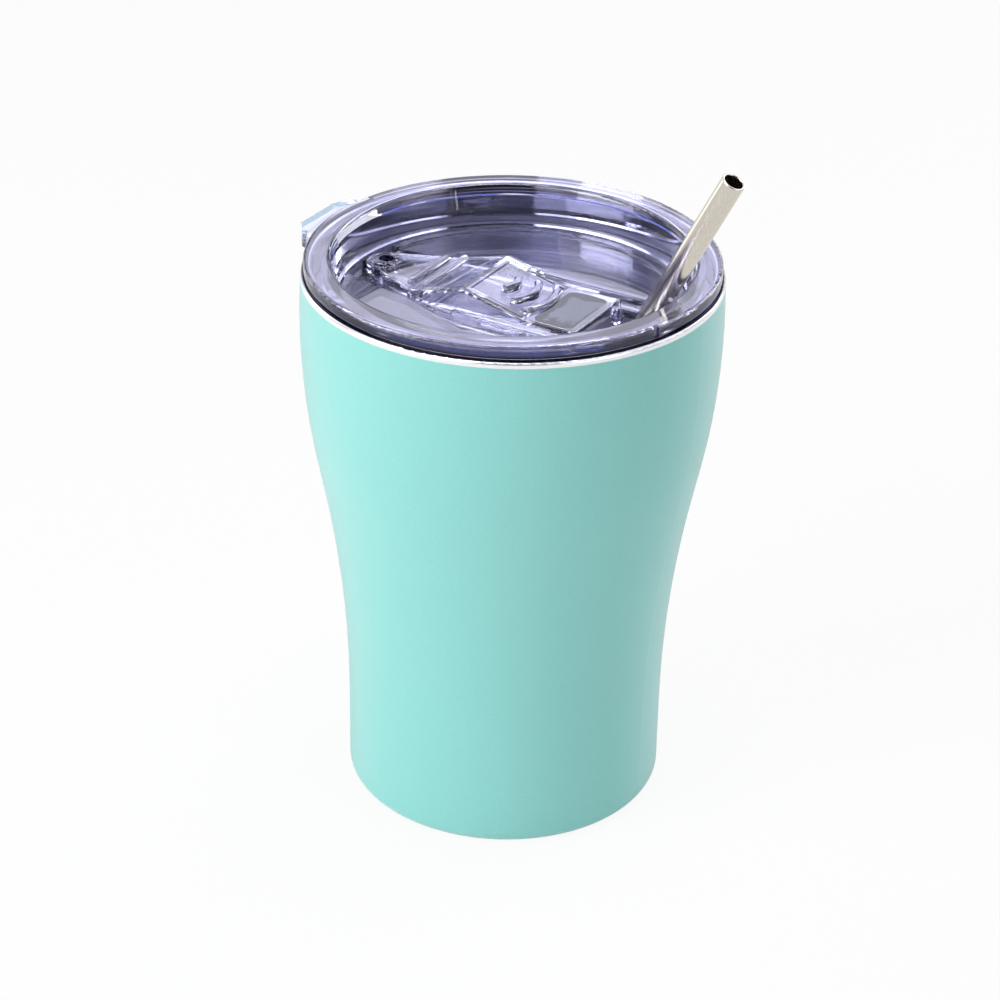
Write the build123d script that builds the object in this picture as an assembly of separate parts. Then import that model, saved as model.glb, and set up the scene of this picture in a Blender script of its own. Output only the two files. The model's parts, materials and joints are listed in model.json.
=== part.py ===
"""Insulated travel mug: a double-walled steel cup, a clear lid with a slider, and a steel straw.

Millimetres.  +Z is up and the mug stands on z = 0, with its axis on the Z axis.  +X runs along the
lid's slider towards the drinking opening, so the thumb tab of the lid points to -X.
"""
import os
from math import acos, asin, atan2, cos, degrees, radians, sin, sqrt, tan

from build123d import *

# ---------------------------------------------------------------- cup: driving dimensions
foot_r = 35.0             # outside of the straight foot, made for a car's cup holder
foot_top = 18.9           # the foot is straight up to here
belly_r = 44.9            # widest outside radius
belly_below = 9.0         # the widest place is this far under the shell's upper edge
shell_top = 121.0         # upper edge of the painted shell
waist_cone = 7.0          # short cone between the two arcs of the waist
foot_blend_share = 0.625  # share of the lower arc in the sum of both radii
shell_wall = 0.6          # outer sheet
shell_corner = 3.0        # outside radius at the bottom edge
turned_in = 4.3           # width of the bottom edge that is turned in

liner_wall = 0.5
vacuum_at_foot = 3.9      # room between the two walls
vacuum_at_mouth = 1.5
liner_foot_top = 21.2
liner_belly_above = 6.0   # the liner is widest this much higher than the shell
liner_cone = 13.9
liner_blend_share = 0.57
liner_corner = 4.0        # inside radius at the liner's bottom edge
lip_height = 1.3          # rolled lip above the painted shell
lip_round = 0.55

weld_gap = 0.1            # room between pieces that are welded or pressed together
seam = 0.03               # butt weld between the liner and its bottom
cap_thick = 0.5           # round cover under the foot
cap_groove_share = 0.8    # radius of the pressed ring in the cover
cap_groove_width = 1.0
plate_thick = 0.6         # disc that closes the vacuum
plate_rim_height = 4.0
dimple_r = 8.0            # dimple over the pump-out hole
dimple_flat_r = 5.0
dimple_height = 1.4
pump_hole_r = 1.2
bead_r = 2.6
bead_height = 0.8
bead_round = 0.6
getter_r = 4.0
getter_height = 1.6
getter_x = 17.0
getter_room = 2.7         # between the getter and the liner's bottom

# ---------------------------------------------------------------- lid: driving dimensions
lid_seat_gap = 0.1        # lid flange over the steel lip
flange_inset = 0.65       # the flange is this much smaller than the steel lip
flange_thick = 3.1
flange_round = 0.7
flange_relief = 0.7       # step under the outer edge of the flange, over the steel lip
flange_relief_width = 0.9
recess_round = 1.0
plug_gap = 2.0            # between the plug wall and the mouth of the cup
plug_taper = 1.0
rim_wall = 1.9            # plug wall at the top of the recess
recess_draft = 1.8        # the recess narrows by this towards its floor
recess_depth = 10.1
floor_thick = 2.8
rim_land = 0.5            # raised ring in the corner of the recess floor
rim_land_width = 1.5
pocket_depth = 1.0        # shallow pocket in the floor, where the slider runs
pocket_tail_room = 4.1    # between the slider's nose and the pocket's edge
rail_thick = 1.2
rail_height = 1.4         # above the recess floor
rail_lip = 1.3            # how far the rail reaches over the slider's wing
rail_lip_thick = 0.6
rail_round = 0.25
rail_lead = 6.0           # the rails start before the wings and end after them
rail_tail = 1.5
opening_corner = 1.2
tab_reach = 4.8           # thumb tab beyond the flange
tab_half = 7.0
tab_shoulder = 2.0        # cut corner of the tab
tab_root = 2.5
tab_drop = 1.5            # tab top below the top of the flange
tab_lip_height = 4.4
tab_lip_thick = 2.2
gate_angle = -19.0        # moulding gate mark on the flange edge
gate_width = 1.4
gate_depth = 0.5

seal_groove = 1.4         # depth of the seal's groove in the plug wall
seal_height = 2.2
seal_below_floor = 2.0    # lower face of the seal under the recess floor
seal_fin = 0.3            # thickness of a fin at its tip
seal_taper = 0.15
seal_ease = 0.05          # between the seal and its groove
seal_to_mouth = 0.3       # running room between the seal and the cup

# ---------------------------------------------------------------- slider: driving dimensions
slide_gap = 0.2           # under the slider, and over its wings
side_gap = 0.5            # beside the wings, post and hooks
slider_half = 9.9
nose_r = 4.3
nose_gap = 0.8            # between the nose and the wall of the recess
post_r = 3.0              # hollow snap post
post_hole_r = 1.65
boss_r = 3.3              # raised ring round the post's hole
boss_height = 0.4
boss_round = 0.2
snap_reach = 1.1
snap_height = 1.0
snap_slit = 0.8
plate_height = 2.2        # flat parts of the slider
ridge_height = 3.6
fall_run = 15.2           # length of the long slope, from the ridge to the flat end
rise_run = 12.3           # length of the short slope
slider_round = 0.4        # rounded outer edges of the slider's top
skin = 1.5                # wall of the hollow grip
dish_depth = 0.45         # shallow dish between the rims of the long slope
dish_rim = 1.5
ridge_rim = 1.3
dish_end = 0.4
wing_before_pad = 9.9     # the wings start before the pad's near end
wing_length = 14.5
wing_reach = 3.0
wing_thick = 1.1
rib_width = 1.8
rib_height = 1.0
rib_round = 0.6
rib_root = 0.4
bow_share = 0.32          # bow of an arc rib, as a share of its half length
bar_ribs = ((-1.8, 7.0), (2.4, 7.9))                # place from the foot of the short slope, half length
bow_ribs = ((7.3, 2.6), (11.6, 4.9), (15.6, 6.6))   # place from the ridge, half length
close_travel = 13.2       # slider travel that would close the opening with the straw taken out
hook_length = 1.4
hook_thick = 1.2
hook_inset = 0.3
toe_reach = 1.3
pad_length = 9.2
pad_inset = 1.4           # from the slider's flanks
pad_skin = 1.1            # clear plastic over the silicone pad
pad_gap = 0.1
pad_corner = 1.9
pad_lead = 0.9            # flat top before the pad

# ---------------------------------------------------------------- straw: driving dimensions
straw_r = 2.5
straw_bore_r = 2.0
straw_out = 31.5          # length above the top of the lid
straw_rim_gap = 0.15      # between the straw and the rounded edge of the recess that it leans on
straw_opening_gap = 1.0   # between the straw and the far end of the opening
straw_corner_gap = 3.2    # between the straw's foot and the liner's wall
straw_foot_gap = 0.3      # lowest point of the straw above the liner's bottom
straw_lip_round = 0.2

# ---------------------------------------------------------------- cup: sizes that follow
liner_foot_r = foot_r - shell_wall - vacuum_at_foot - liner_wall
mouth_r = belly_r - shell_wall - vacuum_at_mouth - liner_wall
belly_z = shell_top - belly_below
liner_belly_z = belly_z + liner_belly_above
cap_r = foot_r - turned_in - weld_gap
liner_floor_z = shell_wall + plate_thick + getter_height + getter_room + liner_wall
lip_top = shell_top + lip_height

# ---------------------------------------------------------------- lid: sizes that follow
flange_low = lip_top + lid_seat_gap
lid_top = flange_low + flange_thick
floor_top = lid_top - recess_depth
floor_low = floor_top - floor_thick
pocket_floor = floor_top - pocket_depth
plug_r = mouth_r - plug_gap
plug_foot_r = plug_r - plug_taper
recess_top_r = plug_r - rim_wall
recess_floor_r = recess_top_r - recess_draft
seal_land_r = plug_r - seal_groove
seal_z = floor_top - seal_below_floor
pocket_half = slider_half + wing_reach + side_gap
opening_half = slider_half + side_gap / 2


def straw_line():
    """Foot (x, z) and lean in degrees of the straw's axis.

    The straw stands near the corner of the liner and leans on the rounded edge of the lid's recess.
    The round of that edge leaves a little more room than its corner would: the distance, square to
    the straw, from the corner to the round.  Room and thickness along x both depend on the lean, so
    the lean is found by repeated substitution.
    """
    wall_lean = atan2(recess_draft, recess_depth)
    round_across = (1 - sin(wall_lean)) / cos(wall_lean)
    lean = 0.0
    for _ in range(30):
        x = straw_r * cos(lean) + straw_corner_gap - liner_foot_r
        z = liner_floor_z + straw_foot_gap + straw_r * sin(lean)
        room = recess_round * (round_across * cos(lean) + sin(lean) - 1)
        rest_x = recess_top_r - (straw_r + straw_rim_gap - room) / cos(lean)
        lean = atan2(rest_x - x, lid_top - z)
    return x, z, degrees(lean)


straw_foot_x, straw_foot_z, straw_tilt = straw_line()
straw_slope = tan(radians(straw_tilt))
straw_half_x = straw_r / cos(radians(straw_tilt))
straw_at_floor_x = straw_foot_x + (floor_top - straw_foot_z) * straw_slope
straw_length = (lid_top - straw_foot_z) / cos(radians(straw_tilt)) + straw_out
opening_end_x = straw_at_floor_x + straw_half_x + straw_opening_gap

# ---------------------------------------------------------------- slider: sizes that follow
slider_low = pocket_floor + slide_gap
slider_top = slider_low + plate_height
snap_top = floor_low - 2 * slide_gap
snap_low = snap_top - snap_height
snap_r = post_r + snap_reach
post_x = nose_r + nose_gap - recess_floor_r
slider_end_x = opening_end_x - side_gap - close_travel
opening_start_x = slider_end_x - hook_length - side_gap
pad_end_x = opening_start_x
pad_start_x = pad_end_x - pad_length
pad_half = slider_half - pad_inset
fall_x = pad_start_x - pad_lead
ridge_x = fall_x - fall_run
rise_x = ridge_x - rise_run
wing_start_x = pad_start_x - wing_before_pad
wing_end_x = wing_start_x + wing_length
rail_start_x = wing_start_x - rail_lead
rail_end_x = wing_end_x + close_travel + rail_tail


def revolved(*edges):
    """Turn a closed outline, drawn in the XZ plane, about the Z axis."""
    outline = Plane.XZ * Face(Wire(list(edges)))
    return revolve(outline, axis=Axis.Z, revolution_arc=360)


def turned(points):
    """Turn a closed polygon of (radius, height) points about the Z axis."""
    outline = Plane.XZ * make_face(Polyline(*points, close=True))
    return revolve(outline, axis=Axis.Z, revolution_arc=360)


def disc(radius, low, high, x=0.0):
    return Pos(x, 0, (low + high) / 2) * Cylinder(radius, high - low)


def block(x0, x1, y0, y1, z0, z1):
    return Pos((x0 + x1) / 2, (y0 + y1) / 2, (z0 + z1) / 2) * Box(x1 - x0, y1 - y0, z1 - z0)


def prism(points, low, high):
    """A polygon in plan, between two heights."""
    return Pos(0, 0, low) * extrude(make_face(Polyline(*points, close=True)), high - low)


def waist_curve(foot, belly, foot_z, height, cone, share, inset, low, high):
    """The S-shaped wall from the foot to the mouth, as edges from bottom to top.

    Straight foot, arc, short cone, arc over the belly; every piece is tangent to the next.  The
    slope of the cone and the two radii follow from the two ends.  inset moves the whole curve
    towards the axis.
    """
    spread = belly - foot
    rise = height - foot_z
    angle = 2 * atan2(spread, rise + cone)
    both_radii = (rise - cone * cos(angle)) / sin(angle)
    low_blend = both_radii * share
    high_blend = both_radii - low_blend
    top_angle = degrees(asin((high - height) / (high_blend - inset)))
    arc_low = CenterArc((foot + low_blend, foot_z), low_blend + inset, 180, -degrees(angle))
    arc_high = CenterArc(
        (belly - high_blend, height), high_blend - inset, -degrees(angle), degrees(angle) + top_angle)
    return [
        Line((foot - inset, low), arc_low @ 0),
        arc_low,
        Line(arc_low @ 1, arc_high @ 0),
        arc_high,
    ]


def shell_curve(inset, low, high):
    return waist_curve(
        foot_r, belly_r, foot_top, belly_z, waist_cone, foot_blend_share, inset, low, high)


def liner_curve(inset, low, high):
    return waist_curve(
        liner_foot_r, mouth_r, liner_foot_top, liner_belly_z, liner_cone, liner_blend_share,
        inset, low, high)


def lip_outer_r():
    """Radius of the painted shell at its upper edge, which the steel lip covers."""
    return (shell_curve(0, shell_corner, shell_top)[-1] @ 1).X


flange_r = lip_outer_r() - flange_inset
tab_root_half = tab_half + tab_shoulder + tab_root


# ================================================================ the cup
def make_outer_shell():
    """Painted sheet: an S-shaped wall with a rolled bottom edge that is turned in."""
    outer = shell_curve(0, shell_corner, shell_top)
    inner = shell_curve(shell_wall, shell_corner, shell_top)
    turned_in_r = cap_r + weld_gap
    corner_x = foot_r - shell_corner
    outer_corner = CenterArc((corner_x, shell_corner), shell_corner, 270, 90)
    inner_corner = CenterArc((corner_x, shell_corner), shell_corner - shell_wall, 270, 90)
    return revolved(
        *outer,
        Line(outer[-1] @ 1, inner[-1] @ 1),
        *inner,
        outer_corner,
        inner_corner,
        Line(inner_corner @ 0, (turned_in_r, shell_wall)),
        Line((turned_in_r, shell_wall), (turned_in_r, 0)),
        Line((turned_in_r, 0), outer_corner @ 0),
    )


def make_inner_liner():
    """Bare steel wall with a rolled lip that closes the space between the two walls."""
    corner_z = liner_floor_z + liner_corner
    inner = liner_curve(0, corner_z, shell_top)
    outer = liner_curve(-liner_wall, corner_z, shell_top)
    corner_x = liner_foot_r - liner_corner
    inner_corner = CenterArc((corner_x, corner_z), liner_corner, 270, 90)
    outer_corner = CenterArc((corner_x, corner_z), liner_corner + liner_wall, 270, 90)
    wall = revolved(
        inner_corner,
        *inner,
        Line(inner[-1] @ 1, outer[-1] @ 1),
        *outer,
        outer_corner,
        Line(outer_corner @ 0, inner_corner @ 0),
    )
    mouth_edge = (inner[-1] @ 1).X
    edge_r = lip_outer_r()
    lip = turned([(mouth_edge, shell_top), (edge_r, shell_top), (edge_r, lip_top), (mouth_edge, lip_top)])
    top_edges = lip.edges().filter_by(GeomType.CIRCLE).group_by(Axis.Z)[-1]
    return wall + fillet(top_edges, lip_round)


def make_liner_bottom():
    """Flat steel disc, butt-welded into the liner's rounded corner."""
    return disc(liner_foot_r - liner_corner - seam, liner_floor_z - liner_wall, liner_floor_z)


def make_base_plate():
    """Disc that closes the vacuum: rim against the shell, dimple with the pump-out hole."""
    rim_r = foot_r - shell_wall - weld_gap
    low = shell_wall
    bend = shell_corner - shell_wall
    rim_top = low + plate_rim_height
    dimple_top = low + dimple_height
    under = [
        (pump_hole_r, dimple_top), (dimple_flat_r, dimple_top), (dimple_r, low),
        (rim_r - bend, low), (rim_r, low + bend), (rim_r, rim_top),
    ]
    inner_bend = bend + plate_thick / 2
    over = [
        (rim_r - plate_thick, rim_top), (rim_r - plate_thick, low + inner_bend),
        (rim_r - inner_bend, low + plate_thick), (dimple_r, low + plate_thick),
        (dimple_flat_r, dimple_top + plate_thick), (pump_hole_r, dimple_top + plate_thick),
    ]
    return turned(under + over)


def make_evacuation_seal():
    """Bead of solder that closes the pump-out hole from below."""
    top = shell_wall + dimple_height
    bead = disc(bead_r, top - bead_height, top)
    bead = fillet(bead.edges().group_by(Axis.Z)[0], bead_round)
    return bead + disc(pump_hole_r - weld_gap, top, top + plate_thick)


def make_getter():
    """Pill that soaks up the last gas, on the plate inside the vacuum."""
    low = shell_wall + plate_thick
    pill = disc(getter_r, low, low + getter_height, getter_x)
    return chamfer(pill.edges().group_by(Axis.Z)[-1], getter_height / 4)


def make_base_cap():
    """Thin steel cover that fills the turned-in edge of the shell, with a pressed ring."""
    groove_r = cap_r * cap_groove_share
    groove = disc(groove_r, 0, cap_thick / 2) - disc(groove_r - cap_groove_width, 0, cap_thick / 2)
    return disc(cap_r, 0, cap_thick) - groove


# ================================================================ the lid
def pocket_outline(x_low, x_high):
    """Plan of the pocket: narrow at the wall, widening to the rails, then parallel."""
    tail_half = nose_r + pocket_tail_room
    near_half = [(x_low, -tail_half), (rail_start_x, -pocket_half), (x_high, -pocket_half)]
    return near_half + [(x, -y) for x, y in reversed(near_half)]


def make_rail(side):
    """L-shaped rail: an upright beside the slider's wing and a lip over it."""
    inner = pocket_half
    outer = pocket_half + rail_thick
    top = floor_top + rail_height
    upright = block(rail_start_x, rail_end_x, inner, outer, pocket_floor, top)
    lip = block(rail_start_x, rail_end_x, inner - rail_lip, outer, top - rail_lip_thick, top)
    rail = upright + lip
    rail = fillet(rail.edges().filter_by(Axis.X).group_by(Axis.Z)[-1], rail_round)
    return rail if side > 0 else mirror(rail, Plane.XZ)


def make_thumb_tab():
    """Lip for the thumb: a plate out of the flange, turned down beside the cup."""
    top = lid_top - tab_drop
    tip = -(flange_r + tab_reach)
    root = -(flange_r - rim_wall)
    shoulder = (tip + 0.8 * tab_shoulder, tab_half + tab_shoulder)
    far_half = [(tip, tab_half), shoulder, (root, tab_root_half)]
    plan = far_half + [(x, -y) for x, y in reversed(far_half)]
    plate = prism(plan, flange_low, top)
    turned_down = prism(plan, top - tab_lip_height, top)
    turned_down -= disc(flange_r + tab_reach - tab_lip_thick, 0, lid_top)
    return plate + turned_down


def make_lid_body():
    """Clear moulding: flange, deep recess with the slider's pocket and rails, and the plug wall."""
    seal_top = seal_z + seal_height
    relief_r = flange_r - flange_relief_width
    relief_top = flange_low + flange_relief
    body = turned([
        (0, floor_low), (plug_foot_r, floor_low), (plug_r, seal_z), (seal_land_r, seal_z),
        (seal_land_r, seal_top), (plug_r, seal_top), (plug_r, flange_low), (relief_r, flange_low),
        (relief_r, relief_top), (flange_r, relief_top), (flange_r, lid_top), (recess_top_r, lid_top),
        (recess_floor_r, floor_top), (0, floor_top),
    ])
    rim_edges = body.edges().filter_by(GeomType.CIRCLE).group_by(Axis.Z)[-1].sort_by(SortBy.RADIUS)
    body = fillet(rim_edges[-1], flange_round)
    rim_edges = body.edges().filter_by(GeomType.CIRCLE).group_by(Axis.Z)[-1].sort_by(SortBy.RADIUS)
    body = fillet(rim_edges[0], recess_round)
    gate = Rot(0, 0, gate_angle) * block(
        flange_r - gate_depth, flange_r + 1, -gate_width / 2, gate_width / 2, flange_low, lid_top)
    body = body - gate + make_thumb_tab()
    land = disc(recess_floor_r + 0.2, floor_top, floor_top + rim_land)
    land -= disc(recess_floor_r - rim_land_width, floor_top, floor_top + rim_land)
    body += land
    pocket_top = floor_top + rim_land
    pocket = prism(pocket_outline(-recess_floor_r, recess_floor_r), pocket_floor, pocket_top)
    body -= pocket & disc(recess_floor_r, pocket_floor, pocket_top)
    body = body + make_rail(1) + make_rail(-1)
    mouth = block(
        opening_start_x, opening_end_x, -opening_half, opening_half, floor_low - 1, floor_top + 1)
    body -= fillet(mouth.edges().filter_by(Axis.Z), opening_corner)
    slot_half = post_r + side_gap
    slot = block(post_x, post_x + close_travel, -slot_half, slot_half, floor_low - 1, floor_top + 1)
    for x in (post_x, post_x + close_travel):
        slot += disc(slot_half, floor_low - 1, floor_top + 1, x)
    return body - slot


def make_lid_seal():
    """Silicone ring in the groove of the plug wall, with two soft fins."""
    inner = seal_land_r + seal_ease
    body_r = plug_r
    tip = mouth_r - seal_to_mouth
    low = seal_z + seal_ease
    high = seal_z + seal_height - seal_ease
    pitch = (high - low) / 2
    points = [(inner, low), (body_r, low)]
    for fin in range(2):
        root = low + (fin + 0.3) * pitch
        end = root + seal_fin
        points += [(body_r, root), (tip, root + seal_taper), (tip, end), (body_r, end + seal_taper)]
    points += [(body_r, high), (inner, high)]
    return turned(points)


# ================================================================ the slider
def slider_plan():
    """Plan of the slider: a round nose about the post, tangent flanks that widen, a square end."""
    reach = rise_x - post_x
    to_shoulder = sqrt(reach ** 2 + slider_half ** 2)
    touch_angle = atan2(slider_half, reach) + acos(nose_r / to_shoulder)
    touch = (post_x + nose_r * cos(touch_angle), nose_r * sin(touch_angle))
    far_touch = (touch[0], -touch[1])
    nose = ThreePointArc(far_touch, (post_x - nose_r, 0), touch)
    rest = Polyline(touch, (rise_x, slider_half), (slider_end_x, slider_half),
                    (slider_end_x, -slider_half), (rise_x, -slider_half), far_touch)
    return make_face([nose, rest])


def top_line(drop):
    """Side view of the slider's top, from its end to its nose, lowered by drop."""
    flat = slider_top - drop
    return [(slider_end_x + 1, flat), (fall_x, flat), (ridge_x, flat + ridge_height), (rise_x, flat),
            (post_x - nose_r - 1, flat)]


def side_prism(points, half):
    """A polygon seen from the side, as wide as the slider."""
    outline = Plane.XZ * make_face(Polyline(*points, close=True))
    return extrude(outline, half, both=True)


def slope_height(x):
    """Height of the slider's top surface at x."""
    if x < rise_x or x > fall_x:
        return slider_top
    if x < ridge_x:
        return slider_top + ridge_height * (x - rise_x) / (ridge_x - rise_x)
    return slider_top + ridge_height * (fall_x - x) / (fall_x - ridge_x)


def straight_rib(x, half_length):
    """Round-ended grip rib across the slider."""
    low = slider_top - rib_root
    high = slope_height(x) + rib_height
    body = block(x - rib_width / 2, x + rib_width / 2, -half_length, half_length, low, high)
    for y in (-half_length, half_length):
        body += Pos(x, y, (low + high) / 2) * Cylinder(rib_width / 2, high - low)
    return fillet(body.edges().group_by(Axis.Z)[-1], rib_round)


def arc_rib(x, half_length):
    """Bowed grip rib whose middle points towards the opening."""
    bow = bow_share * half_length
    path = ThreePointArc((x - bow, -half_length), (x, 0), (x - bow, half_length))
    plan = SlotArc(path, rib_width)
    root = dish_depth + rib_root
    body = extrude(plan, rib_height + root)
    body = fillet(body.edges().group_by(Axis.Z)[-1], rib_round)
    return Pos(0, 0, slope_height(x) - root) * body


def make_slider():
    """Clear moulding: hollow tent-shaped grip on a flat plate, wings, snap post and hooks."""
    base = [(post_x - nose_r - 1, slider_low), (slider_end_x + 1, slider_low)]
    body = side_prism(base + top_line(0), slider_half)
    plan = extrude(slider_plan(), 2 * lid_top)
    body &= plan
    outer_edges = [edge for edge in body.edges() if edge.bounding_box().min.Z > slider_low + 1]
    body = fillet(outer_edges, slider_round)
    hollow = side_prism(
        [(rise_x + skin, slider_low), (fall_x - skin, slider_low), (fall_x - skin, slider_top - skin / 2),
         (ridge_x, slider_top + ridge_height - skin * 1.1), (rise_x + skin, slider_top - skin / 2)],
        slider_half - skin)
    body -= hollow
    dish_x = (ridge_x + ridge_rim, fall_x - dish_end)
    dish = [(x, slope_height(x) - dish_depth) for x in dish_x]
    dish += [(x, slope_height(x) + 1) for x in reversed(dish_x)]
    body -= side_prism(dish, slider_half - dish_rim)
    for place, half_length in bar_ribs:
        body += straight_rib(rise_x + place, half_length)
    for place, half_length in bow_ribs:
        body += arc_rib(ridge_x + place, half_length)
    wing_half = pocket_half - side_gap
    for side in (-1, 1):
        y = sorted((side * (slider_half - skin), side * wing_half))
        body += block(wing_start_x, wing_end_x, *y, slider_low, slider_low + wing_thick)
        hook_x = (slider_end_x - hook_length, slider_end_x)
        hook_outer = slider_half - hook_inset
        y = sorted((side * hook_outer, side * (hook_outer - hook_thick)))
        body += block(*hook_x, *y, snap_low, slider_low)
        y = sorted((side * (hook_outer - hook_thick), side * (hook_outer + toe_reach)))
        body += block(*hook_x, *y, snap_low, snap_top)
    boss = disc(boss_r, slider_low, slider_top + boss_height, post_x)
    body += fillet(boss.edges().group_by(Axis.Z)[-1], boss_round)
    body += disc(post_r, snap_low, slider_top, post_x)
    foot = disc(snap_r, snap_low, snap_top, post_x)
    body += chamfer(foot.edges().group_by(Axis.Z)[0], snap_height * 0.6)
    body -= disc(post_hole_r, snap_low - 1, slider_top + 1, post_x)
    slit_top = floor_low + side_gap
    for across in (0, 90):
        slit = block(-snap_r - 1, snap_r + 1, -snap_slit / 2, snap_slit / 2, snap_low - 1, slit_top)
        body -= Pos(post_x, 0, 0) * Rot(0, 0, across) * slit
    pad_seat = block(pad_start_x - pad_gap, pad_end_x + pad_gap, -pad_half - pad_gap, pad_half + pad_gap,
                     slider_low - 1, slider_top - pad_skin)
    return body - fillet(pad_seat.edges().filter_by(Axis.Z), pad_corner + pad_gap)


def make_slider_plug():
    """Silicone pad in the slider's underside, which stops the drinking opening."""
    low = pocket_floor + slide_gap / 2
    pad = block(pad_start_x, pad_end_x, -pad_half, pad_half, low, slider_top - pad_skin)
    return fillet(pad.edges().filter_by(Axis.Z), pad_corner)


# ================================================================ the straw
def make_straw():
    """Straight steel tube that leans from the bottom corner of the cup out through the lid."""
    tube = Cylinder(straw_r, straw_length) - Cylinder(straw_bore_r, straw_length)
    tube = Pos(0, 0, straw_length / 2) * tube
    tube = fillet(tube.edges().filter_by(GeomType.CIRCLE), straw_lip_round)
    return Pos(straw_foot_x, 0, straw_foot_z) * Rot(0, straw_tilt, 0) * tube


nodes = {
    "outer_shell": make_outer_shell,
    "inner_liner": make_inner_liner,
    "liner_bottom": make_liner_bottom,
    "base_plate": make_base_plate,
    "evacuation_seal": make_evacuation_seal,
    "getter": make_getter,
    "base_cap": make_base_cap,
    "lid_body": make_lid_body,
    "lid_seal": make_lid_seal,
    "slider": make_slider,
    "slider_plug": make_slider_plug,
    "straw": make_straw,
}

os.makedirs("parts", exist_ok=True)
for name, make in nodes.items():
    export_step(make(), f"parts/{name}.step")
    print("wrote", name)

print("straw leans", round(straw_tilt, 3), "degrees, slider end x", round(slider_end_x, 3))
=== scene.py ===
# %% [markdown]
# # An insulated travel mug
#
# The mug is a double-walled steel cup with a mint powder coat, a clear lid with a sliding closure,
# and a steel straw.  The solids come from CAD, already in place and in metres.  This lesson loads
# them, gives every piece a procedural finish, and sets up a floor, a studio and a camera.
#
# Blender could also start from an empty file and model the mug with modifiers.  The CAD solids are
# exact and move on real joints, so they stay, and Blender is here for the looks.

# %% Load the mug
import json

import bpy
import numpy as np
from mathutils import Matrix, Vector


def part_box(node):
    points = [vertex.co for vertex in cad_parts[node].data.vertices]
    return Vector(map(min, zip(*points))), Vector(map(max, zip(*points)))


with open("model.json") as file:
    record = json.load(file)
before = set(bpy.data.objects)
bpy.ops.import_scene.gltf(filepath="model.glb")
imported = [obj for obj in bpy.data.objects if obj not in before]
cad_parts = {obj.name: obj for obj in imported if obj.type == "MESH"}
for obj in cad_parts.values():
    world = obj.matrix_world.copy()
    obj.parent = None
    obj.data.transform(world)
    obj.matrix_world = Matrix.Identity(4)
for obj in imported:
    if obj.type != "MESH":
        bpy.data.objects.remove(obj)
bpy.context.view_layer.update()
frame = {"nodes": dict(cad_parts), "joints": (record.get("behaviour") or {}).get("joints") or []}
print("pieces from CAD:", ", ".join(sorted(frame["nodes"])))

# %% [markdown]
# ## A small language for finishes
#
# A finish is a tree of shader nodes.  Wiring nodes by hand takes many lines, so one class, Value,
# stands for the socket that a number comes out of.  It overloads + - * / and **, also for a plain
# number on the left, and each use adds one Math node.  Colours and vectors have their own mixing
# nodes, because a Math node would turn a colour grey.

# %% Value: arithmetic on a socket
def arithmetic(operation, swapped=False):
    """A method that adds one Math node: operation(self, other), or operation(other, self)."""
    def method(self, other):
        pair = (other, self) if swapped else (self, other)
        return self.finish.math(operation, *pair)
    return method


class Value:
    """The number, colour or vector that comes out of a node."""

    def __init__(self, finish, socket):
        self.finish, self.socket = finish, socket

    __add__ = __radd__ = arithmetic("ADD")
    __mul__ = __rmul__ = arithmetic("MULTIPLY")
    __sub__, __rsub__ = arithmetic("SUBTRACT"), arithmetic("SUBTRACT", swapped=True)
    __truediv__, __rtruediv__ = arithmetic("DIVIDE"), arithmetic("DIVIDE", swapped=True)
    __pow__ = arithmetic("POWER")


print("Value stands for a socket")

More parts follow.
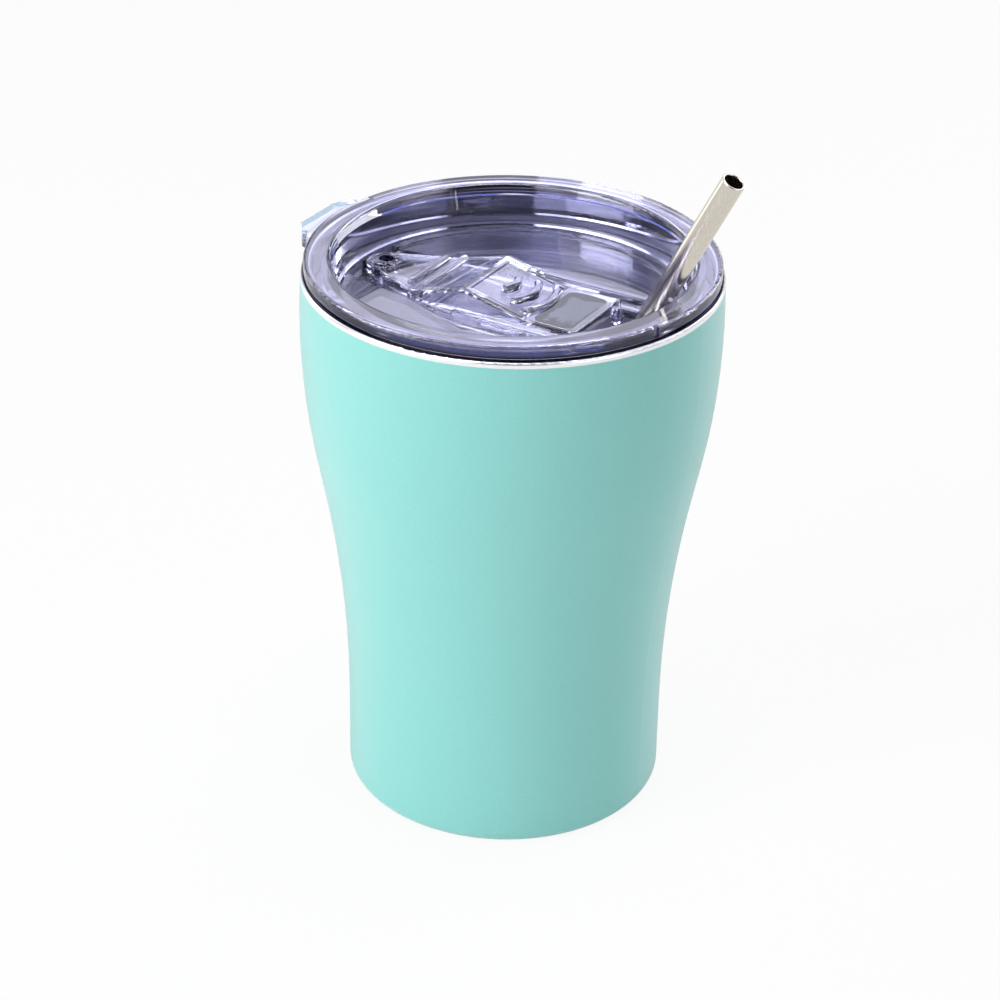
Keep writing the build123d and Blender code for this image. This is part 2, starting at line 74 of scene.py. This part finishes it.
# %% Finish: a material and the nodes in it
class Finish:
    """A procedural material.  node() adds any node; the other methods are common cases of it."""

    def __init__(self, name, **constants):
        self.material = bpy.data.materials.new(name)
        self.material.use_nodes = True
        self.tree = self.material.node_tree
        self.tree.nodes.clear()
        self.shader = self.tree.nodes.new("ShaderNodeBsdfPrincipled")
        output = self.tree.nodes.new("ShaderNodeOutputMaterial")
        self.tree.links.new(self.shader.outputs["BSDF"], output.inputs["Surface"])
        self.surface(**constants)
        self.place = self.node("ShaderNodeTexCoord", out="Object")

    def give(self, socket, value):
        """Links a Value to a socket, or sets a plain number, colour or vector on it."""
        if isinstance(value, Value):
            self.tree.links.new(value.socket, socket)
        elif hasattr(value, "__len__") and len(value) == 3 and socket.type == "RGBA":
            socket.default_value = (*value, 1.0)
        else:
            socket.default_value = value

    def node(self, kind, settings=None, out=0, **inputs):
        """Adds a node: settings first, then its inputs by name (or i0, i1 by number)."""
        made = self.tree.nodes.new(kind)
        for setting, value in (settings or {}).items():
            setattr(made, setting, value)
        for name, value in inputs.items():
            numbered = name[0] == "i" and name[1:].isdigit()
            key = int(name[1:]) if numbered else name.replace("_", " ")
            self.give(made.inputs[key], value)
        return Value(self, made.outputs[out])

    def math(self, operation, first, second=0.0):
        return self.node("ShaderNodeMath", {"operation": operation}, i0=first, i1=second)

    def parts(self, vector):
        """x, y and z of a vector."""
        split = self.node("ShaderNodeSeparateXYZ", i0=vector)
        outputs = split.socket.node.outputs
        return [Value(self, outputs[axis]) for axis in range(3)]

    def vector(self, x, y, z):
        return self.node("ShaderNodeCombineXYZ", i0=x, i1=y, i2=z)

    def mix(self, share, first, second):
        """Colour: first where share is 0, second where it is 1."""
        made = self.tree.nodes.new("ShaderNodeMix")
        made.data_type = "RGBA"
        share_input, first_colour, second_colour, colour_output = 0, 6, 7, 2
        self.give(made.inputs[share_input], share)
        self.give(made.inputs[first_colour], first)
        self.give(made.inputs[second_colour], second)
        return Value(self, made.outputs[colour_output])

    def noise(self, size, where=None, detail=2.0, roughness=0.5):
        """Cloudy noise from 0 to 1, whose features are about size metres across."""
        return self.node("ShaderNodeTexNoise", Vector=where or self.place, Scale=1.0 / size,
                         Detail=detail, Roughness=roughness)

    def between(self, value, low, high):
        """0 at low, 1 at high, and a smooth step in between; low may be the larger number."""
        settings = {"interpolation_type": "SMOOTHSTEP"}
        return self.node("ShaderNodeMapRange", settings, i0=value, i1=low, i2=high)

    def bump(self, height, depth, strength):
        """The normal of a surface that rises by depth metres where height is 1."""
        return self.node("ShaderNodeBump", Height=height, Distance=depth, Strength=strength)

    def surface(self, **sockets):
        """Gives values to the shader's own sockets."""
        for name, value in sockets.items():
            self.give(self.shader.inputs[name.replace("_", " ")], value)
        return self


def dress(node, finish):
    """Puts a finish on a CAD node's object."""
    for slot in frame["nodes"][node].material_slots:
        slot.material = finish.material


def srgb(red, green, blue):
    """A colour as a paint chart gives it, 0 to 255 a channel, in the linear numbers of a shader."""
    chart = np.array([red, green, blue]) / 255
    return tuple(np.where(chart > 0.04045, ((chart + 0.055) / 1.055) ** 2.4, chart / 12.92))


mm = 0.001
print("finishes are written with Value and Finish")

# %% [markdown]
# ## Powder coat
#
# The outside is powder-coated: dry paint is sprayed on and baked, and it flows into a satin film
# with a fine, even grain and a very slight orange peel.  A flat colour would look like plastic.
# Three noises do it: grains a quarter of a millimetre across, a soft peel of two millimetres, and
# a broad drift in the shade of a few centimetres.

# %% Powder coat on the outer shell
def powder_coat():
    """Mint satin film: colour drifts a little, grains catch the light."""
    paint = Finish("mint_powder_coat", IOR=1.5, Specular_IOR_Level=0.42, Sheen_Weight=0.7,
                   Sheen_Roughness=0.45)
    grain = paint.noise(0.28 * mm, detail=3.0, roughness=0.6)
    peel = paint.noise(2.2 * mm, detail=1.0)
    drift = paint.noise(45 * mm, detail=1.0)
    shade = paint.mix(drift, srgb(144, 220, 213), srgb(151, 225, 219))
    flecked = paint.mix(paint.between(grain, 0.56, 0.78) * 0.5, shade, srgb(188, 240, 235))
    pitted = paint.mix(paint.between(grain, 0.42, 0.24) * 0.35, flecked, srgb(108, 186, 178))
    height = grain * 0.55 + peel * 0.45
    return paint.surface(Base_Color=pitted, Roughness=0.46 + 0.14 * grain,
                         Normal=paint.bump(height, depth=0.035 * mm, strength=0.75))


dress("outer_shell", powder_coat())
print("outer_shell has its powder coat")

# %% [markdown]
# ## Steel that was turned, brushed or polished
#
# Stainless steel shows how it was worked.  The liner was spun, so its fine lines run round the
# axis; the straw was drawn, so its lines run along it.  Both are one finish: noise that is
# stretched a hundred times in the direction of the work, in a slight bump and in the roughness.
# The liner is mirror-bright at its mouth and satin further down, and its lip is painted white as a
# highlight.

# %% Lines of the work
def worked_steel(name, tint, roughness, line, depth, along=None, smudge=0.08):
    """Steel with fine lines: round the Z axis, or along a direction if one is given.

    The lines are line metres wide and depth metres deep, and smudge is how much the roughness
    drifts.  Round the axis, a point becomes (radius, height), and a little of its angle keeps the
    lines from closing.  Along a direction, the place on it counts for a hundredth.
    """
    drift_per_radian, along_share = 0.06 * mm, 0.012
    steel = Finish(name, Metallic=1.0)
    if along is None:
        x, y, z = steel.parts(steel.place)
        radius = (x * x + y * y) ** 0.5
        angle = steel.math("ARCTAN2", y, x)
        where = steel.vector(radius, z, angle * drift_per_radian)
    else:
        turned = Vector(along).rotation_difference(Vector((0, 0, 1))).to_euler()
        where = steel.node("ShaderNodeMapping", {"vector_type": "POINT"}, Vector=steel.place,
                           Rotation=tuple(turned), Scale=(1.0, 1.0, along_share))
    lines = steel.noise(line, where, detail=4.0, roughness=0.7)
    cloud = steel.noise(9 * mm, detail=2.0)
    dark = tuple(channel * 0.86 for channel in tint)
    steel.shade = steel.mix(steel.between(lines, 0.35, 0.7), dark, tint)
    steel.gloss = roughness + 0.03 * (lines - 0.5) + smudge * (cloud - 0.5)
    return steel.surface(Base_Color=steel.shade, Roughness=steel.gloss,
                         Normal=steel.bump(lines, depth, strength=0.5))


print("steel can be spun round Z or drawn along a direction")

# %% Spun steel of the liner
def liner_steel():
    """Spun steel: satin below the seal, a mirror above it, a lip painted white as a highlight, and
    painted shade on the seat.

    The lip is what stands over the outer wall, and the seat is the ring of it under the lid.
    """
    steel = worked_steel("spun_steel", srgb(214, 214, 222), roughness=0.06, line=0.25 * mm,
                         depth=0.0005 * mm, smudge=0.02)
    x, y, z = steel.parts(steel.place)
    radius = (x * x + y * y) ** 0.5
    seal_z, lip_z, seat_inner, seat_outer, soft = 114 * mm, 121 * mm, 43 * mm, 44.3 * mm, 0.1 * mm
    satin = steel.between(z, seal_z + 1 * mm, seal_z - 1 * mm)
    lip = steel.between(z, lip_z - soft, lip_z + soft)
    seat = (lip * steel.between(radius, seat_outer + soft, seat_outer - soft)
            * steel.between(radius, seat_inner - soft, seat_inner + soft))
    # Painted highlight: the lip is near white and partly non-metallic, so it reads bright. Painted
    # shade: a dark ring on the seat under the lid.
    shade = steel.mix(lip, steel.shade, srgb(248, 248, 250))
    return steel.surface(Base_Color=steel.mix(seat, shade, srgb(24, 22, 34)),
                         Metallic=1.0 - 0.4 * lip,
                         Roughness=steel.gloss + 0.18 * satin + 0.14 * lip)


liner_finish = liner_steel()
# The lip's white is a painted highlight.
print("the liner's steel has a satin wall, a mirror and a buffed lip")

# %% Steel on its pieces
base_finish = worked_steel("brushed_base_steel", srgb(214, 213, 211), roughness=0.3,
                           line=0.2 * mm, depth=0.01 * mm)
joint_axes = {joint["name"]: joint["axis"] for joint in frame["joints"]}
straw_finish = worked_steel("drawn_straw_steel", srgb(214, 207, 196), roughness=0.16,
                            line=0.22 * mm, depth=0.006 * mm, along=joint_axes["straw_pull"],
                            smudge=0.16)
for node, finish in (("inner_liner", liner_finish), ("liner_bottom", liner_finish),
                     ("base_plate", base_finish), ("base_cap", base_finish),
                     ("straw", straw_finish)):
    dress(node, finish)
print("steel is on the liner, its bottom, the plate, the cap and the straw")

# %% [markdown]
# ## Solder and getter
#
# Under the cap sit a bead of solder that closes the pump-out hole, and a getter, a pressed tablet
# of metal grains that soaks up stray gas.  Nobody sees them on a whole mug, yet they are pieces of
# it, so the bead gets a dull crusted skin and the tablet its grains.

# %% Solder and getter
def crusted(name, bright, dull, grain, roughness):
    """Dull metal: noise chooses between a bright and a dull colour, and makes the crust."""
    metal = Finish(name, Metallic=1.0)
    crust = metal.noise(grain, detail=4.0, roughness=0.65)
    return metal.surface(Base_Color=metal.mix(crust, dull, bright),
                         Roughness=roughness + 0.25 * (crust - 0.5),
                         Normal=metal.bump(crust, depth=0.05 * mm, strength=0.6))


dress("evacuation_seal", crusted("dull_solder", srgb(200, 200, 204), srgb(130, 130, 136),
                                 grain=0.9 * mm, roughness=0.42))
dress("getter", crusted("sintered_getter", srgb(150, 150, 156), srgb(84, 84, 90),
                        grain=0.22 * mm, roughness=0.6))
print("solder and getter are dressed")

# %% [markdown]
# ## Clear plastic
#
# The lid is moulded from a clear copolyester with a faint violet tint.  It bends light like glass,
# so its edges draw dark and bright lines by themselves.  The tint sits in the base colour.  Mould
# flow leaves a very weak waviness, and handling leaves faint smudges, so the roughness drifts.
# The base colour also carries painted shade, evenly all round: deep violet streaks low on the
# flange's edge, and dark colour in its step, in the gap round the slider's nose and in the slider's
# post.

# %% Clear plastic
def clear_plastic(name, tint):
    """Refracting plastic: a weak wave in the normal, smudges and a drifting gloss."""
    plastic = Finish(name, Transmission_Weight=0.985, IOR=1.56, Specular_IOR_Level=0.5)
    wave = plastic.noise(9 * mm, detail=1.0)
    haze = plastic.noise(6 * mm, detail=3.0, roughness=0.6)
    plastic.shade = plastic.mix(plastic.between(haze, 0.3, 0.7), tint,
                                tuple(channel * 0.97 for channel in tint))
    smudges = plastic.between(haze, 0.45, 0.8)
    return plastic.surface(Base_Color=plastic.shade, Roughness=0.012 + 0.03 * smudges,
                           Normal=plastic.bump(wave, depth=0.02 * mm, strength=0.4))


def round_axis(finish, x, y, inner, outer, soft):
    """1 between two radii round the Z axis, falling to 0 over soft metres on both sides."""
    radius = (x * x + y * y) ** 0.5
    return (finish.between(radius, inner - soft, inner)
            * finish.between(radius, outer + soft, outer))


print("clear plastic bends light as an index of 1.56 does")

# %% Clear plastic on the lid
# Radii of the painted shade on the flange's edge and on the step under it, and the heights where each
# band of it ends.
edge_inner, step_inner, flange_outer = 43.6 * mm, 42.9 * mm, 44.1 * mm
edge_top, step_top = 124.7 * mm, 123.1 * mm
# The slider's nose is rounded about its snap post, and the lid's pocket leaves a gap round it, where
# shade is painted.
post_x, gap_inner, gap_outer, gap_top, gap_end = (-31.5 * mm, 4.5 * mm, 5.3 * mm, 115.8 * mm,
                                                  -31 * mm)


def lid_plastic():
    """Painted shade: deep violet streaks low on the flange's edge, and dark colour in its step and in
    the nose's gap.
    """
    plastic = clear_plastic("lid_clear_plastic", srgb(236, 237, 254))
    x, y, z = plastic.parts(plastic.place)
    streaks = plastic.noise(7 * mm, plastic.vector(x, y, z * 6), detail=3.0)
    edge = round_axis(plastic, x, y, edge_inner, flange_outer, 0.2 * mm)
    edge = edge * plastic.between(z, edge_top + 0.5 * mm, edge_top - 0.5 * mm)
    edge = edge * plastic.between(streaks, 0.15, 0.45)
    step = round_axis(plastic, x, y, step_inner, flange_outer, 0.1 * mm)
    step = step * plastic.between(z, step_top + 0.1 * mm, step_top - 0.1 * mm)
    gap = round_axis(plastic, x - post_x, y, gap_inner, gap_outer, 0.1 * mm)
    gap = gap * plastic.between(z, gap_top + 0.1 * mm, gap_top - 0.1 * mm)
    gap = gap * plastic.between(x, gap_end + 1 * mm, gap_end - 1 * mm)
    # Painted shade in the base colour: navy streaks on the edge, dark colour in the step and in the
    # gap round the nose.
    shade = plastic.mix(edge, plastic.shade, srgb(24, 30, 96))
    shade = plastic.mix(step, shade, srgb(30, 28, 48))
    return plastic.surface(Base_Color=plastic.mix(gap, shade, srgb(20, 18, 34)))


dress("lid_body", lid_plastic())
# The lid's deeper edge is painted shade.
print("the lid is clear, with a deeper edge")

# %% Clear plastic on the slider
def slider_plastic():
    """Painted shade in the hole of the snap post."""
    plastic = clear_plastic("slider_clear_plastic", srgb(240, 241, 254))
    x, y, z = plastic.parts(plastic.place)
    hole = round_axis(plastic, x - post_x, y, 0.0, 1.68 * mm, 0.05 * mm)
    return plastic.surface(Base_Color=plastic.mix(hole, plastic.shade, srgb(46, 42, 66)))


dress("slider", slider_plastic())
print("the slider is clear, with shade in its post")

# %% [markdown]
# ## Silicone
#
# The seal round the lid is a milky silicone with two soft fins.  The pad under the slider's end is
# a grey silicone; its middle presses on the clear plastic and looks frosted, its border is dark.
# Its top and the plastic over it lie in one plane in CAD, and light would miss such a pair, so a
# modifier lifts the pad by a hair into the plastic, as if it were bonded there.

# %% Silicone seal
def silicone(name, transmission, roughness):
    """Rubbery skin with a fine mould grain; its cloud is for patches of colour."""
    rubber = Finish(name, Transmission_Weight=transmission, IOR=1.41)
    rubber.grain = rubber.noise(0.3 * mm, detail=3.0)
    rubber.cloud = rubber.noise(3.5 * mm, detail=3.0, roughness=0.6)
    return rubber.surface(Roughness=roughness + 0.15 * (rubber.grain - 0.5),
                          Normal=rubber.bump(rubber.grain, depth=0.02 * mm, strength=0.6))


def seal_silicone():
    """Milky, with paler cloudy patches."""
    rubber = silicone("milky_seal_silicone", transmission=0.6, roughness=0.35)
    patches = rubber.between(rubber.cloud, 0.42, 0.66)
    return rubber.surface(Base_Color=rubber.mix(patches, srgb(214, 214, 226), srgb(226, 226, 236)))


dress("lid_seal", seal_silicone())
print("the seal is milky silicone")

# %% Silicone pad
def pad_silicone():
    """Frosted inside a ragged outline: the larger of |x| and |y|, each as a share of the pad.

    The frosted patch sits a little towards the slider's end, so x counts from past the middle.
    """
    rubber = silicone("grey_pad_silicone", transmission=0.0, roughness=0.55)
    x, y, z = rubber.parts(rubber.place)
    low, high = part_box("slider_plug")
    half = (high[0] - low[0]) / 2
    middle = low[0] + 1.2 * half
    along = rubber.math("ABSOLUTE", (x - middle) / half)
    across = rubber.math("ABSOLUTE", y / high[1])
    ragged = (rubber.math("MAXIMUM", along, across) + 1.1 * (rubber.cloud - 0.5)
              + 0.5 * (rubber.grain - 0.5))
    frosted = rubber.between(ragged, 0.76, 0.68)
    speck = rubber.mix(rubber.between(rubber.grain, 0.35, 0.65), srgb(94, 108, 122),
                       srgb(122, 134, 148))
    border = rubber.mix(rubber.cloud, srgb(2, 6, 5), srgb(22, 28, 26))
    return rubber.surface(Base_Color=rubber.mix(frosted, border, speck), Specular_IOR_Level=0.1)


def bond(node, depth):
    """Lifts a piece into the plastic over it by a hair's breadth."""
    lifted = frame["nodes"][node].modifiers.new("bond", "DISPLACE")
    lifted.direction, lifted.mid_level, lifted.strength = "Z", 0.0, depth


dress("slider_plug", pad_silicone())
bond("slider_plug", 0.03 * mm)
print("the pad is grey silicone, frosted in its middle")

# %% [markdown]
# ## Floor and light
#
# A plain pale floor, a pale world and five soft lamps.  The floor and the world look white to the
# camera, and to rays that come off metal or through plastic, while the light on the mug stays at a
# plain level.  The Light Path node tells these rays apart.

# %% Which ray is asking
def any_ray(tree, *kinds):
    """A socket that is 1 for a ray of any of the named kinds: the largest of their 0s and 1s."""
    rays = tree.nodes.new("ShaderNodeLightPath")
    found = rays.outputs[kinds[0]]
    for kind in kinds[1:]:
        larger = tree.nodes.new("ShaderNodeMath")
        larger.operation = "MAXIMUM"
        tree.links.new(found, larger.inputs[0])
        tree.links.new(rays.outputs[kind], larger.inputs[1])
        found = larger.outputs[0]
    return found


def blend(tree, share, first, second):
    """A shader: first where share is 0, second where it is 1."""
    mixed = tree.nodes.new("ShaderNodeMixShader")
    for place, socket in enumerate((share, first, second)):
        tree.links.new(socket, mixed.inputs[place])
    return mixed.outputs[0]


print("shaders can be blended by the kind of ray")

# %% Floor
def floor_finish():
    """Mostly its own white glow for seeing rays, and a share of plain paper that keeps the shadow."""
    glow_share, paper_grey = 0.92, 0.86
    paper = bpy.data.materials.new("pale_floor")
    paper.use_nodes = True
    tree = paper.node_tree
    tree.nodes.clear()
    glow, plain = tree.nodes.new("ShaderNodeEmission"), tree.nodes.new("ShaderNodeBsdfDiffuse")
    plain.inputs["Color"].default_value = (paper_grey, paper_grey, paper_grey, 1)
    share = tree.nodes.new("ShaderNodeMath")
    share.operation = "MULTIPLY"
    share.inputs[1].default_value = glow_share
    seen = any_ray(tree, "Is Camera Ray", "Is Glossy Ray", "Is Transmission Ray")
    tree.links.new(seen, share.inputs[0])
    output = tree.nodes.new("ShaderNodeOutputMaterial")
    tree.links.new(blend(tree, share.outputs[0], plain.outputs[0], glow.outputs[0]),
                   output.inputs["Surface"])
    return paper


floor_half = 12.0
floor_mesh = bpy.data.meshes.new("floor")
floor_mesh.from_pydata([(-floor_half, -floor_half, 0), (floor_half, -floor_half, 0),
                        (floor_half, floor_half, 0), (-floor_half, floor_half, 0)],
                       [], [(0, 1, 2, 3)])
floor = bpy.data.objects.new("floor", floor_mesh)
bpy.context.scene.collection.objects.link(floor)
floor_mesh.materials.append(floor_finish())
print("floor is", 2 * floor_half, "m wide")

# %% [markdown]
# ## World
#
# The world has three looks.  The camera sees plain white.  Reflections and light through plastic
# see a studio: pale at the horizon, dark above it, bright where the lamps would hang and greyer
# overhead.  It has panels side by side, one dark and one bright, which the clear wall at the back
# of the lid's recess mirrors as a dark block and a pale one.  Everything else gets a weak, even
# light.  The studio is a ramp of colour by height, times a ramp by heading.

# %% Ramps for the studio
world = bpy.data.worlds.new("studio")
bpy.context.scene.world = world
world.use_nodes = True
sky = world.node_tree
sky.nodes.clear()


def sky_ramp(factor, stops):
    """The colour at factor on a ramp of stops, each a position and its red, green and blue."""
    made = sky.nodes.new("ShaderNodeValToRGB")
    ends = made.color_ramp.elements
    for end, (position, shade) in zip(ends, (stops[0], stops[-1])):
        end.position, end.color = position, (*shade, 1)
    for position, shade in stops[1:-1]:
        ends.new(position).color = (*shade, 1)
    sky.links.new(factor, made.inputs[0])
    return made.outputs[0]


def heading_share(x, y):
    """The heading of a direction, from +X round by +Y, as a share: 0 at -180 degrees, 1 at 180."""
    heading, share = sky.nodes.new("ShaderNodeMath"), sky.nodes.new("ShaderNodeMapRange")
    heading.operation = "ARCTAN2"
    sky.links.new(y, heading.inputs[0])
    sky.links.new(x, heading.inputs[1])
    share.inputs["From Min"].default_value, share.inputs["From Max"].default_value = -np.pi, np.pi
    sky.links.new(heading.outputs[0], share.inputs[0])
    return share.outputs[0]


# Heights run from the horizon at 0 to straight up at 1.  Headings are in degrees, each with a light.
heights = ((0.0, (0.46, 0.46, 0.46)), (0.08, (0.46, 0.46, 0.47)),
           (0.14, (0.006, 0.006, 0.03)), (0.34, (0.006, 0.006, 0.03)),
           (0.42, (0.86, 0.85, 1.0)), (0.60, (0.86, 0.85, 1.0)),
           (0.72, (0.2, 0.2, 0.28)), (1.0, (0.5, 0.5, 0.62)))
panels = ((-180, 0.4), (-175, 0.4), (-172, 0.12), (-153, 0.12), (-150, 0.85), (-74, 0.85),
          (-72, 0.0), (-15, 0.0), (-13.5, 0.4), (180, 0.4))
print("the studio has", len(heights), "heights and", len(panels), "headings")

# %% World
where, split = sky.nodes.new("ShaderNodeTexCoord"), sky.nodes.new("ShaderNodeSeparateXYZ")
sky.links.new(where.outputs["Generated"], split.inputs[0])
by_height = sky_ramp(split.outputs["Z"], heights)
by_heading = sky_ramp(heading_share(split.outputs["X"], split.outputs["Y"]),
                      [((degrees + 180) / 360, (light,) * 3) for degrees, light in panels])
studio = sky.nodes.new("ShaderNodeVectorMath")
studio.operation = "MULTIPLY"
sky.links.new(by_height, studio.inputs[0])
sky.links.new(by_heading, studio.inputs[1])


def background(strength, colour=(1, 1, 1)):
    """One look of the world."""
    made = sky.nodes.new("ShaderNodeBackground")
    made.inputs["Color"].default_value = (*colour, 1)
    made.inputs["Strength"].default_value = strength
    return made


lit = background(strength=0.22, colour=(0.93, 0.96, 1.0))
seen, mirrored = background(strength=1.0), background(strength=5.5)
sky.links.new(studio.outputs[0], mirrored.inputs["Color"])
unseen = blend(sky, any_ray(sky, "Is Glossy Ray", "Is Transmission Ray"),
               lit.outputs[0], mirrored.outputs[0])
whole = blend(sky, any_ray(sky, "Is Camera Ray"), unseen, seen.outputs[0])
output = sky.nodes.new("ShaderNodeOutputWorld")
sky.links.new(whole, output.inputs["Surface"])
print("world is white to the camera and a studio to reflections")

# %% [markdown]
# ## Camera
#
# The camera stands about two thirds of a metre off, to the right of the mug's front, and looks
# down on the lid with a long lens.  It is tipped by a degree about its own line of sight.

# %% Camera
eye = Vector((0.2872, -0.4975, 0.3827))
target = Vector((-0.00158, -0.00091, 0.06702))
lean = np.radians(1.08)
forward = (target - eye).normalized()
level = forward.cross(Vector((0, 0, 1))).normalized()
upright = level.cross(forward)
right = np.cos(lean) * level + np.sin(lean) * upright
above = -np.sin(lean) * level + np.cos(lean) * upright
camera_data = bpy.data.cameras.new("camera")
camera_data.lens, camera_data.sensor_width = 107.9, 36.0
camera_data.clip_start, camera_data.clip_end = 0.01, 100.0
camera = bpy.data.objects.new("camera", camera_data)
bpy.context.scene.collection.objects.link(camera)
turn = Matrix((right, above, -forward)).transposed()
camera.matrix_world = Matrix.Translation(eye) @ turn.to_4x4()
bpy.context.scene.camera = camera
print("camera looks down at", round(float(np.degrees(np.arcsin(-forward.z))), 1), "degrees")

# %% [markdown]
# ## Lamps
#
# Soft light comes from large lamps.  Four stand round the mug, placed by metres to the camera's
# right, away from the camera and up, and one hangs over it.  All of them face the mug's middle.

# %% Lamps
heart = Vector((0, 0, 0.075))


def softbox(name, offset, width, height, watts):
    """A rectangular area lamp at an offset from the mug's middle, which it faces."""
    data = bpy.data.lights.new(name, "AREA")
    data.shape, data.size, data.size_y = "RECTANGLE", width, height
    data.energy = watts
    lamp = bpy.data.objects.new(name, data)
    bpy.context.scene.collection.objects.link(lamp)
    lamp.location = heart + offset
    way = (heart - lamp.location).normalized()
    lamp.rotation_mode = "QUATERNION"
    lamp.rotation_quaternion = way.to_track_quat("-Z", "Y")


side = Vector((level.x, level.y, 0)).normalized()
ahead = Vector((forward.x, forward.y, 0)).normalized()
for name, to_right, away, up, width, height, watts in (
        ("key", -0.71, -0.42, 0.45, 0.6, 0.7, 6.7),
        ("edge", -0.75, 0.5, 0.2, 0.4, 0.7, 0.9),
        ("fill", 0.8, -0.5, 0.3, 0.5, 0.7, 1.4),
        ("rim", 0.65, 0.6, 0.2, 0.3, 0.7, 2.1)):
    softbox(name, to_right * side + away * ahead + Vector((0, 0, up)), width, height, watts)
softbox("top", Vector((0.05, 0.1, 0.9)), width=0.35, height=0.5, watts=3.0)
print("five soft lamps are up")

# %% Render depth
# Light crosses many walls of plastic before it reaches the steel inside.
cycles = bpy.context.scene.cycles
cycles.max_bounces, cycles.transmission_bounces, cycles.glossy_bounces = 20, 16, 8
bpy.context.scene.view_settings.view_transform = "Standard"
print("light may bounce", cycles.max_bounces, "times")
